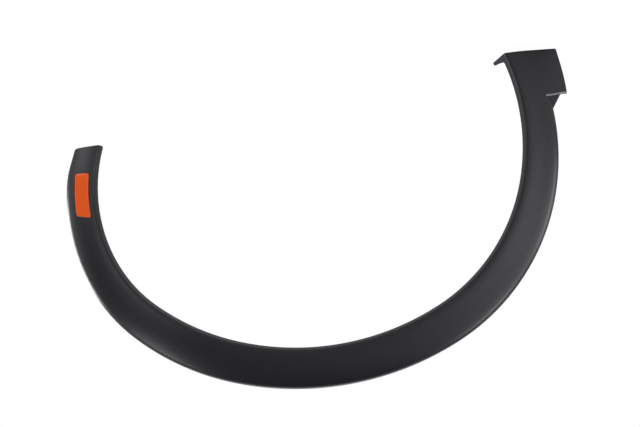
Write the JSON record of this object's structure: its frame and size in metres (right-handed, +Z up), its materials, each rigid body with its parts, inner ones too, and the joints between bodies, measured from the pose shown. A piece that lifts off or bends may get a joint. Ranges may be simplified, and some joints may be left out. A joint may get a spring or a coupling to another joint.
{
  "type": "wheel arch trim",
  "caption": "Moulded trim that lines the edge of a front right wheel arch, with a side marker, a foot at the sill and push-in clips behind.",
  "frame": {"origin": "middle of the crown locating pin, in the plane where the trim meets the wing", "axes": "+X to the front of the car, +Z up, -Y out of the car; the crown locating pin points along +Y into the wing"},
  "size_m": [0.9593, 0.0908, 0.6303],
  "materials": {
    "grained_polypropylene": "fine moulded grain, unpainted",
    "amber_acrylic": "clear polished amber with prisms behind",
    "white_abs": "plain moulded",
    "natural_acetal": "natural, slightly waxy",
    "foam_rubber": "closed-cell foam, matte"
  },
  "bodies": {
    "root": {"trim_moulding": "grained_polypropylene", "marker_lens": "amber_acrylic", "marker_housing": "white_abs", "clip_1": "natural_acetal", "clip_2": "natural_acetal", "clip_3": "natural_acetal", "clip_4": "natural_acetal", "clip_5": "natural_acetal", "clip_6": "natural_acetal", "clip_7": "natural_acetal", "clip_8": "natural_acetal", "clip_9": "natural_acetal", "clip_10": "natural_acetal", "clip_seal_1": "foam_rubber", "clip_seal_2": "foam_rubber", "clip_seal_3": "foam_rubber", "clip_seal_4": "foam_rubber", "clip_seal_5": "foam_rubber", "clip_seal_6": "foam_rubber", "clip_seal_7": "foam_rubber", "clip_seal_8": "foam_rubber", "clip_seal_9": "foam_rubber", "clip_seal_10": "foam_rubber"}
  },
  "joints": []
}
